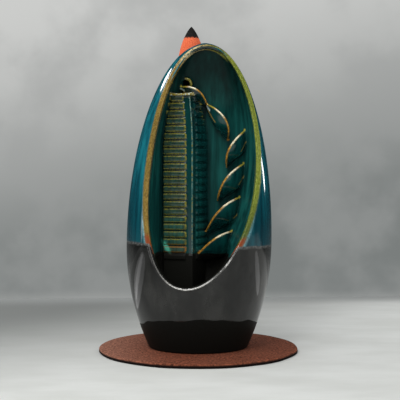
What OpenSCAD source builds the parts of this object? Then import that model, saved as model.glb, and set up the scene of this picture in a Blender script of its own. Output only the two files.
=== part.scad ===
// Backflow incense burner: a leaning, egg-shaped ceramic with an oval niche in its front.
// A cone burns on a seat at the back of the top. Its smoke sinks through a passage, comes out
// of a spout in the niche, and runs down a stair of leaf-shaped cups into a pool at the bottom.
// Lengths are millimetres and angles degrees. X is to the right, Y to the back, Z up, and the
// origin is at the middle of the mat's underside.

/* [Egg-shaped body] */
// Height of the ceramic above the mat
body_h = 185.6; // [176:0.2:198]
// Width of the body at its widest
body_w = 88.8; // [84:0.2:98]
// Depth of the body as a share of its width
depth_share = 0.94; // [0.86:0.01:1]
// Height at which the body is widest
belly_z = 63; // [56:1:74]
// Width of the body just above its foot
foot_w = 60.4; // [56:0.2:70]
// How far the top leans to the right
body_lean = 4.1; // [1:0.1:7]
// Rounding where the wall meets the foot
foot_round = 1.6; // [0.8:0.1:2.5]
// Width of the flat ring that the body stands on
foot_ring_w = 7; // [5:0.5:10]
// Depth of the hollow inside the foot ring
foot_hollow = 2; // [1:0.5:4]

/* [Niche] */
// Width of the oval mouth at its widest
mouth_w = 65.8; // [62:0.2:70]
// Height of the mouth's lowest point, its lip
lip_z = 40; // [37:0.2:43]
// Drop from the top of the body to the top of the mouth
mouth_drop = 2.3; // [1.8:0.1:5]
// Height at which the mouth is widest
mouth_mid_z = 105; // [96:1:112]
// Sideways place of the mouth's top
mouth_top_x = 5; // [3:0.1:7]
// Sideways place of the mouth's lip
mouth_lip_x = -9.5; // [-11:0.1:-7]
// Place of the niche's back wall behind the body's axis
back_wall_y = 4; // [2:0.5:6]
// How far the ceiling comes forward of the back wall at the top
ceiling_reach = 10.5; // [9.5:0.5:12]
// Drop from the top of the body to where the back wall starts to curl forward
ceiling_drop = 64; // [58:0.5:70]
// Share by which the side walls close in from the mouth to the back
wall_flare = 0.12; // [0.06:0.01:0.2]
// Radius of the roll round the mouth
rim_r = 1.5; // [1.2:0.1:2.4]
// How far the roll stands proud of the body
rim_proud = 0.35; // [0.1:0.05:0.6]

/* [Pool] */
// Height of the pool's floor
pool_floor_z = 25; // [20:0.5:28]
// Width of the pool
pool_w = 45; // [40:0.5:50]
// Height at which the pool's walls meet the niche's
pool_top_z = 67.6; // [64:0.2:70]
// Wall between the pool and the front of the body
pool_wall = 5; // [4:0.5:7]

/* [Stepped column] */
// Number of slats on each face
slat_count = 22; // [16:1:24]
// Height of one slat
slat_h = 3; // [2.4:0.1:3.4]
// Distance from one slat to the next
slat_pitch = 4.55; // [4.2:0.05:4.8]
// How far the slats stand out of the column
slat_proud = 1.1; // [0.6:0.1:1.6]
// Drop from the top of the body to the top slat's middle
slat_drop = 34; // [32:0.2:37]
// Plain strip beside the column's front edge
corner_strip = 4.2; // [3:0.1:5]
// Width of each face
column_w = 18.6; // [16:0.1:20]
// Turn of the left face away from straight ahead
column_turn = 20; // [14:1:26]
// Sideways place of the column's front edge
column_x = -4.2; // [-6:0.1:-2]
// Place of the column's front edge, forward of the axis
column_y = -14; // [-16:0.25:-11]
// Share of its width that the column loses towards the top
column_taper = 0.36; // [0.25:0.01:0.42]
// Thickness of the column's cap
cap_h = 1.6; // [1.2:0.1:2.6]

/* [Leaf cups] */
// Number of cups that slope down to the left
cup_count = 4; // [2:1:4]
// Drop from one cup to the next
cup_step = 21; // [19.5:0.1:22]
// Drop from the top of the body to the first cup's upper tip
cup_drop = 51.2; // [48:0.1:55]
// Sideways place of the first cup's upper tip
cup_tip_x = 30.4; // [28:0.1:31]
// How fast the tips of the cups move to the left, from one to the next
cup_drift = 0.74; // [0.5:0.02:1]
// Length of the first cup, tip to spout
cup_len = 28.1; // [25:0.1:30]
// How much longer each cup is than the one above it
cup_growth = 2.8; // [1:0.1:3.5]
// Slope of the first cup
cup_slope = 63.4; // [58:0.2:68]
// How much flatter each cup lies than the one above it
cup_flatten = 8.9; // [6:0.1:10]
// How far a cup's lip bows up from a straight line
cup_bow = 5.5; // [3:0.1:7]
// How far the first cup's bow sits towards its spout
cup_hook = 6.2; // [2:0.1:8]
// How much less that is on each further cup
cup_unhook = 4.1; // [2:0.1:5]
// Breadth of a cup, front to back
cup_breadth = 22; // [19:0.5:24]
// Depth of the first cup's belly
cup_depth = 12.5; // [10:0.5:14]
// How much deeper each cup is than the one above it
cup_deepen = 1.8; // [0:0.1:2.4]
// Wall of a cup
cup_wall = 2; // [1.6:0.1:2.6]
// Turn of a cup's opening towards the front
cup_tilt = 16; // [6:1:24]
// How far a cup is let into the back wall
cup_root = 1.8; // [1.2:0.1:3]
// Length of the cup that slopes to the right
turn_cup_len = 26; // [23:0.5:28]
// Slope of that cup
turn_cup_slope = 60; // [54:1:66]
// How far that cup's bow sits towards its spout
turn_cup_hook = 2.4; // [0:0.1:5]
// How far to the left of the first cup's tip that cup's tip is
turn_cup_left = 25.2; // [23:0.2:27]
// How far above the first cup's tip that cup's tip is
turn_cup_up = 14.4; // [12:0.1:16]
// Size of that cup's belly as a share of the first cup's
turn_cup_share = 0.8; // [0.7:0.01:0.95]
// Length of the basin under the spout
basin_len = 21; // [18:0.5:23]
// Slope of the basin
basin_slope = 35; // [28:1:40]
// Size of the basin's belly as a share of the first cup's
basin_share = 0.71; // [0.6:0.01:0.8]
// How far the basin's tip is beyond the spout's middle
basin_back = 3.5; // [2.5:0.1:4.5]
// How far the basin's tip is below the spout's middle
basin_drop = 1.5; // [0.5:0.1:2.5]

/* [Cone seat and smoke passage] */
// Diameter of the seat
seat_d = 18.4; // [17.6:0.2:19]
// Drop from the top of the body to the seat's floor
seat_drop = 13; // [11.6:0.2:14.6]
// Sideways place of the seat
seat_x = -3.7; // [-5:0.1:-2]
// Place of the seat behind the axis
seat_y = 11; // [10.6:0.1:12]
// Width of the low wall round the seat
seat_wall = 1.9; // [1.4:0.1:2.5]
// Height of the low wall round the seat
seat_wall_h = 1.8; // [1:0.1:3]
// Bore of the smoke passage
smoke_d = 4.6; // [3.5:0.1:5.5]
// Drop from the top of the body to where the smoke comes out into the niche
spout_drop = 25; // [23.6:0.2:26.6]
// Sideways place of the spout
spout_x = -7.8; // [-9:0.1:-6]
// Outer diameter of the spout
spout_d = 8; // [7.4:0.2:9]
// How far the spout stands out of the wall
spout_reach = 3; // [2:0.5:4]

/* [Incense cone] */
// Diameter of the cone's base
cone_d = 16.8; // [13:0.1:17]
// Height that is left of the cone
cone_h = 24.6; // [18:0.1:30]
// Bore in the cone's underside
cone_bore_d = 4; // [3:0.5:5]
// Depth of the bore
cone_bore_h = 11; // [6:0.5:13]

/* [Mat] */
// Diameter of the felt mat
mat_d = 122; // [100:1:140]
// Thickness of the mat
mat_t = 2.5; // [2:0.1:4]

/* [Hidden] */
fine = 0.01;
egg_sides = 56;
arc_steps = 22;
roll_steps = 64;
roll_sides = 8;
cup_steps = 12;
cup_sides = 8;

belly_r = body_w / 2;
foot_r = foot_w / 2;
mouth_r = mouth_w / 2;
mouth_top_z = body_h - mouth_drop;
ceiling_z = body_h - ceiling_drop;
slat_top_z = body_h - slat_drop;
cup_top_z = body_h - cup_drop;
seat_z = body_h - seat_drop;
spout_z = body_h - spout_drop;

// Powers of the curves of the mouth's middle line, the ceiling and the niche's corners
mouth_bend = 2.4;
ceiling_bend = 2.2;
niche_power = 3.5;
// The roll's middle line lies this share of its radius outside the mouth's edge
roll_share = 0.8;

// The pool's bowl: the angle at its floor, the power of its side and the power of its corners
pool_start = 25;
pool_side = 0.7;
pool_corner = 0.8;

// The column: the angle between its faces, how far it runs into the wall, and its upper part
column_open = 100;
column_root = 8;
column_skew = 2;
top_shift = [-1.5, 2];
taper_bend = 1.7;
// The cap lies this far down on the top slat, and hangs over at left, front and right
cap_lap = 0.2;
cap_z = slat_top_z + slat_h / 2 - cap_lap;
cap_over = [[-1, -1], [0, -1.4], [1, -0.4]];
// A slat is let this far into the face, and stops this far past the face's corner
slat_root = 0.5;
slat_past = 0.4;

// The outline of a leaf: powers at its tip and its spout, its greatest value, and where it ends
leaf_tip = 0.62;
leaf_spout = 0.8;
leaf_sum = leaf_tip + leaf_spout;
leaf_peak = pow(leaf_tip / leaf_sum, leaf_tip) * pow(leaf_spout / leaf_sum, leaf_spout);
leaf_start = 0.004;
leaf_end = 0.97;
// A cup is as broad as a softer outline, and its trough keeps at least this share of the section
leaf_soft = 0.8;
trough_share = 0.35;

// The seat's boss, and how far the passage's bores run past their ends
boss_h = 14;
boss_draft = 1;
passage_rise = 4;
bore_over = 0.2;
bore_start = 1.5;
bore_end = 2;
bore_lap = 1;

// Powers of the cone's outline
cone_side = 1.9;
cone_tip = 0.8;

// Vector helpers
function unit(v) = v / norm(v);
function bend(a, b, c, t) = (1 - t) * (1 - t) * a + 2 * t * (1 - t) * b + t * t * c;
function bend_way(a, b, c, t) = unit((1 - t) * (b - a) + t * (c - b));

// The egg: half a tall ellipse above the belly, and a parabola from the belly to the foot
function egg_half(z) =
    z > belly_z
    ? belly_r * sqrt(max(0, 1 - pow((z - belly_z) / (body_h - belly_z), 2)))
    : belly_r - (belly_r - foot_r) * pow((belly_z - z) / belly_z, 2);
function egg_lean(z) = body_lean * pow(max(0, z) / body_h, 2);
function egg_ring(z, half) = [
    for (i = [0 : egg_sides - 1])
        let (a = 360 * i / egg_sides)
        [egg_lean(z) + half * cos(a), depth_share * half * sin(a), z]
];
function egg_front(x, z) =
    -depth_share * sqrt(max(0, pow(egg_half(z), 2) - pow(x - egg_lean(z), 2)));
function egg_level(p) =
    norm([p.x - egg_lean(p.z), p.y / depth_share]) - egg_half(p.z);
function egg_normal(p) =
    unit([
        egg_level(p + [fine, 0, 0]) - egg_level(p - [fine, 0, 0]),
        egg_level(p + [0, fine, 0]) - egg_level(p - [0, fine, 0]),
        egg_level(p + [0, 0, fine]) - egg_level(p - [0, 0, fine])
    ]);

// The mouth: two half ellipses that meet at its widest point, on a middle line that leans
function mouth_reach(z) = z > mouth_mid_z ? mouth_top_z - mouth_mid_z : mouth_mid_z - lip_z;
function mouth_half(z) = mouth_r * sqrt(max(0, 1 - pow((z - mouth_mid_z) / mouth_reach(z), 2)));
function mouth_x(z) =
    mouth_top_x
    + (mouth_lip_x - mouth_top_x) * pow(max(0, mouth_top_z - z) / (mouth_top_z - lip_z), mouth_bend);
function mouth_edge(a) =
    let (
        z = mouth_mid_z + sin(a) * (sin(a) > 0 ? mouth_top_z - mouth_mid_z : mouth_mid_z - lip_z),
        x = mouth_x(z) + mouth_r * cos(a)
    )
    [x, egg_front(x, z), z];

// The back wall, which curls forward into a ceiling over the upper part of the niche
function wall_y(z) =
    back_wall_y - ceiling_reach * pow(max(0, z - ceiling_z) / (mouth_top_z - ceiling_z), ceiling_bend);

// A closed solid through rings that all have the same number of points
module loft(rings) {
    n = len(rings[0]);
    m = len(rings);
    sides = [
        for (j = [0 : m - 2], i = [0 : n - 1])
            let (a = j * n + i, b = j * n + (i + 1) % n)
            each [[a, a + n, b], [b, a + n, b + n]]
    ];
    caps = [
        for (i = [1 : n - 2])
            each [[0, i, i + 1], [(m - 1) * n, (m - 1) * n + i + 1, (m - 1) * n + i]]
    ];
    polyhedron([for (r = rings) each r], concat(sides, caps), convexity = 8);
}

// A closed solid through rings whose last ring joins the first
module closed_sweep(rings) {
    n = len(rings[0]);
    m = len(rings);
    sides = [
        for (j = [0 : m - 1], i = [0 : n - 1])
            let (a = j * n + i, b = j * n + (i + 1) % n, up = ((j + 1) % m - j) * n)
            each [[a, a + up, b], [b, a + up, b + up]]
    ];
    polyhedron([for (r = rings) each r], sides, convexity = 8);
}

module egg() {
    edge_half = egg_half(foot_round) - foot_round;
    foot_rings = [
        for (a = [0 : 30 : 60])
            egg_ring(foot_round * (1 - cos(a)), edge_half + foot_round * sin(a))
    ];
    low_rings = [
        for (i = [0 : 8])
            let (z = foot_round + (belly_z - foot_round) * i / 8)
            egg_ring(z, egg_half(z))
    ];
    top_rings = [
        for (a = [5.5 : 5.5 : 88])
            let (z = belly_z + (body_h - belly_z) * sin(a))
            egg_ring(z, egg_half(z))
    ];
    loft(concat(foot_rings, low_rings, top_rings));
}

// The niche: level slices, each a rounded bay that is open to the front
function niche_slice(z) =
    let (
        front = -depth_share * egg_half(z),
        deep = wall_y(z) - front,
        half = mouth_half(z)
    )
    concat(
        [[mouth_x(z) + half, -belly_r, z]],
        [
            for (i = [0 : arc_steps])
                let (
                    a = 180 * i / arc_steps,
                    across = sign(cos(a)) * pow(abs(cos(a)), 2 / niche_power),
                    back = pow(sin(a), 2 / niche_power)
                )
                [mouth_x(z) + half * across * (1 - wall_flare * back), front + deep * back, z]
        ],
        [[mouth_x(z) - half, -belly_r, z]]
    );

module niche() {
    loft([
        for (a = [-88 : 8 : 88])
            niche_slice(mouth_mid_z + sin(a) * (sin(a) > 0 ? mouth_top_z - mouth_mid_z : mouth_mid_z - lip_z))
    ]);
}

// The pool: a bowl behind the lip that catches the smoke
function round_power(v, power) = sign(v) * pow(abs(v), power);
function pool_ring(z, share) =
    let (
        front = -depth_share * egg_half(z) + pool_wall,
        middle = (front + wall_y(z)) / 2,
        deep = (wall_y(z) - front) / 2
    )
    [
        for (a = [0 : 10 : 350])
            [
                mouth_x(pool_top_z) + pool_w / 2 * share * round_power(cos(a), pool_corner),
                middle + deep * share * round_power(sin(a), pool_corner),
                z
            ]
    ];

module pool() {
    loft([
        for (a = [pool_start : (90 - pool_start) / 5 : 90])
            pool_ring(
                pool_top_z - (pool_top_z - pool_floor_z) * cos(a) / cos(pool_start),
                pow(sin(a), pool_side)
            )
    ]);
}

// The roll round the mouth: a round bead let into the edge
module rim_roll() {
    closed_sweep([
        for (i = [0 : roll_steps - 1])
            let (
                a = 360 * i / roll_steps,
                p = mouth_edge(a),
                out = egg_normal(p),
                along = unit(mouth_edge(a + 1) - mouth_edge(a - 1)),
                aside = cross(along, out),
                middle = p + (rim_proud - rim_r) * out + roll_share * rim_r * aside
            )
            [
                for (k = [0 : roll_sides - 1])
                    let (t = 360 * k / roll_sides)
                    middle + rim_r * (cos(t) * out + sin(t) * aside)
            ]
    ]);
}

// The column: its plan at a height, as left corner, front edge and right corner
function column_rise(z) = max(0, z - ceiling_z) / (slat_top_z - ceiling_z);
function column_share(z) = 1 - column_taper * pow(column_rise(z), taper_bend);
function column_front(z) = [column_x, column_y] + top_shift * pow(column_rise(z), 2);
function column_left(z) =
    column_front(z) + column_w * column_share(z) * [-cos(column_turn), sin(column_turn)];
function column_right(z) =
    let (a = 180 - column_turn - column_open)
    column_front(z) + column_w * column_share(z) * [cos(a), sin(a)];
function column_plan(z, grow) =
    let (
        left = column_left(z) + grow * cap_over[0],
        front = column_front(z) + grow * cap_over[1],
        right = column_right(z) + grow * cap_over[2],
        root = wall_y(cap_z) + column_root
    )
    [
        for (p = [left, front, right, [right.x, root], [left.x - column_skew, root]])
            [p.x, p.y, z]
    ];

module column_core() {
    loft([
        for (z = [pool_floor_z - 1, ceiling_z, ceiling_z + 12, ceiling_z + 22, cap_z + cap_h / 2])
            column_plan(z, 0)
    ]);
}

module column_cap() {
    loft([
        for (z = [cap_z, cap_z + cap_h])
            column_plan(cap_z, slat_proud) + [for (i = [0 : 4]) [0, 0, z - cap_z]]
    ]);
}

// One slat on the face from a to b, clear of the plain strip beside the front edge
module slat(a, b, height) {
    way = unit(b - a);
    out = [way.y, -way.x];
    linear_extrude(height)
        polygon([
            a - slat_root * out,
            b - slat_root * out,
            b + slat_proud * out,
            a + slat_proud * out
        ]);
}

module column_slats() {
    for (i = [0 : slat_count - 1]) {
        z = slat_top_z - i * slat_pitch;
        front = column_front(z);
        left = column_left(z);
        right = column_right(z);
        left_way = unit(left - front);
        right_way = unit(right - front);
        translate([0, 0, z - slat_h / 2]) {
            slat(left - slat_past * left_way, front + corner_strip * left_way, slat_h);
            slat(front + corner_strip * right_way, right - slat_past * right_way, slat_h);
        }
    }
}

// A cup is a leaf-shaped trough along a bowed lip, round at its tip and pointed at its spout,
// with its back let into the wall. side is 1 where the belly lies to the right of the way down
// the lip, and -1 where it lies to the left.
function leaf(t) = pow(t, leaf_tip) * pow(1 - t, leaf_spout) / leaf_peak;
function leaf_ring(tip, bow, spout, breadth, depth, side, t) =
    let (
        lip = bend(tip, bow, spout, t),
        way = bend_way(tip, bow, spout, t),
        belly = side * [-way.y, 0, way.x],
        back = [0, cos(cup_tilt), 0] - sin(cup_tilt) * belly,
        down = cos(cup_tilt) * belly + [0, sin(cup_tilt), 0],
        half = breadth / 2 * pow(leaf(t), leaf_soft),
        deep = depth * leaf(t),
        lip_y = wall_y(lip.y) + cup_root - 2 * half * cos(cup_tilt),
        middle = [lip.x, lip_y, lip.y] + half * back,
        outer = [
            for (i = [0 : cup_sides])
                let (a = 180 * i / cup_sides)
                middle - half * cos(a) * back + deep * sin(a) * down
        ],
        inner = [
            for (i = [cup_sides : -1 : 0])
                let (a = 180 * i / cup_sides)
                middle - max(trough_share * half, half - cup_wall) * cos(a) * back
                + max(trough_share * deep, deep - cup_wall) * sin(a) * down
        ],
        ring = concat(outer, inner)
    )
    side > 0 ? [for (i = [len(ring) - 1 : -1 : 0]) ring[i]] : ring;

// tip is the upper end of the lip as [x, z]
module leaf_cup(tip, length, slope, hook, rise, breadth, depth, side) {
    way = [-side * cos(slope), -sin(slope)];
    up = side * [way.y, -way.x];
    spout = tip + length * way;
    bow = tip + (length / 2 + hook) * way + 2 * rise * up;
    rings = [
        for (i = [0 : cup_steps])
            leaf_ring(
                tip, bow, spout, breadth, depth, side,
                leaf_start + (leaf_end - leaf_start) * pow(i / cup_steps, 1.5)
            )
    ];
    n = len(rings[0]);
    last = cup_steps * n;
    sides = [
        for (j = [0 : cup_steps - 1], i = [0 : n - 1])
            let (a = j * n + i, b = j * n + (i + 1) % n)
            each [[a, a + n, b], [b, a + n, b + n]]
    ];
    ends = [
        for (i = [0 : cup_sides - 1])
            let (a = i, b = i + 1, c = n - 2 - i, d = n - 1 - i)
            each [
                [a, b, c], [a, c, d],
                [last + a, last + c, last + b], [last + a, last + d, last + c]
            ]
    ];
    polyhedron([for (r = rings) each r], concat(sides, ends), convexity = 6);
}

module leaf_cups() {
    for (k = [0 : cup_count - 1])
        leaf_cup(
            [cup_tip_x - cup_drift * k * k, cup_top_z - k * cup_step],
            cup_len + k * cup_growth, cup_slope - k * cup_flatten,
            cup_hook - k * cup_unhook, cup_bow,
            cup_breadth, cup_depth + k * cup_deepen, 1
        );
    leaf_cup(
        [cup_tip_x - turn_cup_left, cup_top_z + turn_cup_up],
        turn_cup_len, turn_cup_slope, turn_cup_hook, turn_cup_share * cup_bow,
        turn_cup_share * cup_breadth, turn_cup_share * cup_depth, -1
    );
    leaf_cup(
        [spout_x - basin_back, spout_z - basin_drop],
        basin_len, basin_slope, 0, basin_share * cup_bow,
        basin_share * cup_breadth, basin_share * cup_depth, -1
    );
}

// The spout is a short stub on the niche's wall, at the front end of a sloping passage
passage_start = [seat_x, seat_y, spout_z + passage_rise];
passage_end = [spout_x, wall_y(spout_z) - spout_reach, spout_z];

module along_passage(d, from, to) {
    way = to - from;
    translate(from)
        rotate([0, acos(way.z / norm(way)), atan2(way.y, way.x)])
            cylinder(d = d, h = norm(way), $fn = 32);
}

module spout_stub() {
    along_passage(spout_d, (passage_start + passage_end) / 2, passage_end);
}

module smoke_passage() {
    way = unit(passage_end - passage_start);
    along_passage(smoke_d + bore_over, passage_start - bore_start * way, passage_end + bore_end * way);
    translate([seat_x, seat_y, passage_start.z - bore_lap])
        cylinder(d = smoke_d, h = seat_z - passage_start.z + 2 * bore_lap, $fn = 32);
}

module seat_boss() {
    translate([seat_x, seat_y, seat_z - boss_h])
        cylinder(
            d1 = seat_d - boss_draft, d2 = seat_d + 2 * seat_wall, h = boss_h + seat_wall_h, $fn = 48
        );
}

module seat_recess() {
    translate([seat_x, seat_y, seat_z])
        cylinder(d = seat_d, h = body_h, $fn = 48);
}

module foot_recess() {
    loft([
        for (z = [-1, foot_hollow])
            egg_ring(z, foot_r - foot_ring_w)
    ]);
}

module ceramic_body() {
    color("teal")
    difference() {
        union() {
            difference() {
                union() {
                    egg();
                    seat_boss();
                }
                niche();
                pool();
            }
            rim_roll();
            column_core();
            column_cap();
            column_slats();
            leaf_cups();
            spout_stub();
        }
        seat_recess();
        smoke_passage();
        foot_recess();
    }
}

// The cone: an ogive turned on its axis, drilled from below so that its smoke sinks
module incense_cone() {
    side = [
        for (i = [0 : 12])
            let (t = pow(i / 12, 1.5))
            [cone_d / 2 * pow(1 - pow(1 - t, cone_side), cone_tip), cone_h * (1 - t)]
    ];
    color("coral")
    difference() {
        rotate_extrude($fn = 64) polygon(concat([[0, 0]], [for (i = [12 : -1 : 0]) side[i]]));
        translate([0, 0, -1]) cylinder(d = cone_bore_d, h = cone_bore_h + 1, $fn = 32);
    }
}

module felt_mat() {
    color("sienna") cylinder(d = mat_d, h = mat_t, $fn = 128);
}

translate([0, 0, mat_t]) ceramic_body();
translate([seat_x, seat_y, mat_t + seat_z]) incense_cone();
felt_mat();
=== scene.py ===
# %% [markdown]
# # A glazed backflow incense burner
#
# The object is a ceramic burner, shaped like a leaning egg with an oval niche in its front. A cone
# burns on its top, and the smoke sinks down a row of leaf-shaped cups into a pool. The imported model
# gives the sizes. This script gives it its looks: glaze, felt and pressed incense, on a pale table.
#
# The frame is loaded first, because every piece takes its place from it.

# %% Load the frame
import math

import bmesh
import bpy
import numpy as np
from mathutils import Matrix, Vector


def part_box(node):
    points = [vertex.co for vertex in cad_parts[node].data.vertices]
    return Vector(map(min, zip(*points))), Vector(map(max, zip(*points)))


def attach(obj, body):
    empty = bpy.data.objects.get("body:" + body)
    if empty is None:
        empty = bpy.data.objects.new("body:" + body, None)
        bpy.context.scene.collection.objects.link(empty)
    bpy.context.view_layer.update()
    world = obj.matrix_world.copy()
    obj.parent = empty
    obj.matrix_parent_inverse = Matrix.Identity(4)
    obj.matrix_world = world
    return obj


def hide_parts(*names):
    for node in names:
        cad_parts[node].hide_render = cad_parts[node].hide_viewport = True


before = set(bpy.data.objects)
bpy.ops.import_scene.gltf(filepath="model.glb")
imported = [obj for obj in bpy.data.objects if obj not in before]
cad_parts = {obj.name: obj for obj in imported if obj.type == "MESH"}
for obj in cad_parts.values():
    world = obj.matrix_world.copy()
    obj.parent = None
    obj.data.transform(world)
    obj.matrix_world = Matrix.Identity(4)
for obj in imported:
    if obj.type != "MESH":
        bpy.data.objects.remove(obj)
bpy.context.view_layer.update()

MM = 0.001

# %% [markdown]
# ## Sizes
#
# The ceramic is worked out from the same driving sizes as the model: an egg, an oval mouth, a
# stepped column and a row of cups. Lengths are in millimetres, and the height is counted from the
# foot. The egg is half a tall ellipse above its belly and a parabola below it. A formula is used
# instead of a sculpted shape because a glossy surface shows every small dent in its reflections.

# %% Driving sizes of the ceramic
body_h, body_w, depth_share = 185.6, 88.8, 0.94
belly_z, foot_w, body_lean, foot_round = 63.0, 60.4, 4.1, 1.6
foot_ring_w, foot_hollow = 7.0, 2.0
mouth_w, lip_z, mouth_drop, mouth_mid_z = 65.8, 40.0, 2.3, 105.0
mouth_top_x, mouth_lip_x, mouth_bend = 5.0, -9.5, 2.4
back_wall_y, ceiling_reach, ceiling_z, ceiling_bend = 4.0, 10.5, 121.6, 2.2
wall_flare, niche_power, rim_r, rim_proud = 0.12, 3.5, 1.5, 0.35
pool_floor_z, pool_w, pool_top_z, pool_wall = 25.0, 45.0, 67.6, 5.0

belly_r, foot_r, mouth_r = body_w / 2, foot_w / 2, mouth_w / 2
mouth_top_z = body_h - mouth_drop
foot_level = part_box("felt_mat")[1][2] / MM
print("the foot stands", round(foot_level, 2), "mm above the table")


def egg_half(z):
    z = np.asarray(z, float)
    up = belly_r * np.sqrt(np.clip(1 - ((z - belly_z) / (body_h - belly_z)) ** 2, 0, None))
    low = belly_r - (belly_r - foot_r) * ((belly_z - z) / belly_z) ** 2
    return np.where(z > belly_z, up, low)


def egg_lean(z):
    return body_lean * (np.clip(z, 0, None) / body_h) ** 2


def egg_front(x, z):
    return -depth_share * np.sqrt(np.clip(egg_half(z) ** 2 - (x - egg_lean(z)) ** 2, 0, None))


def egg_level(p):
    across = np.hypot(p[..., 0] - egg_lean(p[..., 2]), p[..., 1] / depth_share)
    return across - egg_half(p[..., 2])


def unit(v):
    return v / np.maximum(np.linalg.norm(v, axis=-1, keepdims=True), 1e-9)


def egg_normal(p, step=0.01):
    slope = [egg_level(p + step * axis) - egg_level(p - step * axis) for axis in np.eye(3)]
    return unit(np.stack(slope, -1))


# %% [markdown]
# ## One way to make every solid
#
# The body, the niche, the pool, the cups and the roll round the mouth are all lofts: rings of points
# joined by quads. One helper builds them, and a sweep is a loft whose last ring joins the first.
# A rod is a loft of two circles, for the straight parts and bores.

# %% Lofts
ASKEW = (0.31, 0.87, 0.11)  # any direction that no rod runs along
scrap = []


def turns(count):
    return np.linspace(0, 2 * np.pi, count, endpoint=False)


def put(name, data):
    made = bpy.data.objects.new(name, data)
    bpy.context.scene.collection.objects.link(made)
    return made


def new_object(name, points, faces):
    mesh = bpy.data.meshes.new(name)
    mesh.from_pydata([tuple(p) for p in np.asarray(points) * MM], [], faces)
    mesh.validate()
    return put(name, mesh)


def level_ring(x, y, z):
    return np.stack([x, y, np.full_like(x, z)], -1)


def circle(middle, radius, a, z):
    return level_ring(middle[0] + radius * np.cos(a), middle[1] + radius * np.sin(a), z)


def loft(name, rings, closed=False):
    rings = np.asarray(rings, float)
    m, n = rings.shape[:2]
    faces = []
    for j in range(m if closed else m - 1):
        up = (j + 1) % m
        faces += [(j * n + i, j * n + (i + 1) % n, up * n + (i + 1) % n, up * n + i) for i in range(n)]
    if not closed:
        faces += [tuple(range(n - 1, -1, -1)), tuple((m - 1) * n + i for i in range(n))]
    made = new_object(name, rings.reshape(-1, 3), faces)
    face_outwards(made)
    scrap.append(made)
    return made


def face_outwards(made):
    mesh = bmesh.new()
    mesh.from_mesh(made.data)
    bmesh.ops.recalc_face_normals(mesh, faces=mesh.faces)
    if mesh.calc_volume(signed=True) < 0:
        bmesh.ops.reverse_faces(mesh, faces=mesh.faces)
    mesh.to_mesh(made.data)
    mesh.free()


def rod(name, start, end, d_start, d_end=None, sides=64):
    start, end = np.asarray(start, float), np.asarray(end, float)
    d_end = d_start if d_end is None else d_end
    way = unit(end - start)
    side = unit(np.cross(way, ASKEW))
    other = np.cross(way, side)
    a = turns(sides)[:, None]
    round_ring = np.cos(a) * side + np.sin(a) * other
    return loft(name, [start + d_start / 2 * round_ring, end + d_end / 2 * round_ring])


# %% [markdown]
# ## The egg and its foot
#
# A poured ceramic has soft edges, so the wall turns into the foot on a small round. The rings are
# close together at the top, where the surface bends fastest.

# %% Egg
EGG_SIDES = 288


def egg_ring(z, half):
    a = turns(EGG_SIDES)
    return level_ring(egg_lean(z) + half * np.cos(a), depth_share * half * np.sin(a), z)


def make_egg():
    edge = float(egg_half(foot_round)) - foot_round
    turn = np.radians(np.arange(0, 90, 15))
    foot = [egg_ring(foot_round * (1 - math.cos(a)), edge + foot_round * math.sin(a)) for a in turn]
    low = [egg_ring(z, float(egg_half(z))) for z in np.linspace(foot_round, belly_z, 60)]
    rise = np.radians(np.linspace(1, 89, 110))
    high = [egg_ring(z, float(egg_half(z))) for z in belly_z + (body_h - belly_z) * np.sin(rise)]
    return loft("egg", foot + low + high)


egg = make_egg()
print("egg", len(egg.data.vertices), "points")

# %% [markdown]
# ## The niche and the pool
#
# The niche is cut out of the egg. Its mouth is two half ellipses on a middle line that leans, its
# corners are round, and its back wall curls forward into a ceiling. Below the lip it is deepened
# into a bowl, the pool, which the smoke fills.

# %% Niche and pool
def mouth_reach(z):
    return np.where(z > mouth_mid_z, mouth_top_z - mouth_mid_z, mouth_mid_z - lip_z)


def mouth_half(z):
    return mouth_r * np.sqrt(np.clip(1 - ((z - mouth_mid_z) / mouth_reach(z)) ** 2, 0, None))


def mouth_level(a):
    up = np.sin(a)
    return mouth_mid_z + up * np.where(up > 0, mouth_top_z - mouth_mid_z, mouth_mid_z - lip_z)


def mouth_x(z):
    drop = np.clip(mouth_top_z - z, 0, None) / (mouth_top_z - lip_z)
    return mouth_top_x + (mouth_lip_x - mouth_top_x) * drop ** mouth_bend


def wall_y(z):
    rise = np.clip(z - ceiling_z, 0, None) / (mouth_top_z - ceiling_z)
    return back_wall_y - ceiling_reach * rise ** ceiling_bend


def niche_slice(z, steps=96):
    front = -depth_share * float(egg_half(z))
    half, middle, deep = float(mouth_half(z)), float(mouth_x(z)), float(wall_y(z)) - front
    a = np.linspace(0, np.pi, steps + 1)
    across = np.sign(np.cos(a)) * np.abs(np.cos(a)) ** (2 / niche_power)
    back = np.sin(a) ** (2 / niche_power)
    bay = level_ring(middle + half * across * (1 - wall_flare * back), front + deep * back, z)
    clear = -belly_r - 4  # in front of the egg, so that the cut is open
    return np.concatenate([[[middle + half, clear, z]], bay, [[middle - half, clear, z]]])


def make_niche():
    return loft("niche", [niche_slice(z) for z in mouth_level(np.radians(np.linspace(-89, 89, 150)))])


def pool_ring(z, share):
    front = -depth_share * float(egg_half(z)) + pool_wall
    back = float(wall_y(z))
    a = turns(120)
    soft = [np.sign(f(a)) * np.abs(f(a)) ** 0.8 for f in (np.cos, np.sin)]
    return level_ring(float(mouth_x(pool_top_z)) + pool_w / 2 * share * soft[0],
                      (front + back) / 2 + (back - front) / 2 * share * soft[1], z)


def make_pool():
    deep = pool_top_z - pool_floor_z
    a = np.radians(np.linspace(14, 90, 36))
    return loft("pool", [pool_ring(pool_top_z - deep * math.cos(t) / math.cos(a[0]), math.sin(t) ** 0.7)
                         for t in a])


niche, pool = make_niche(), make_pool()
print("niche and pool", len(niche.data.vertices) + len(pool.data.vertices), "points")

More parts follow.
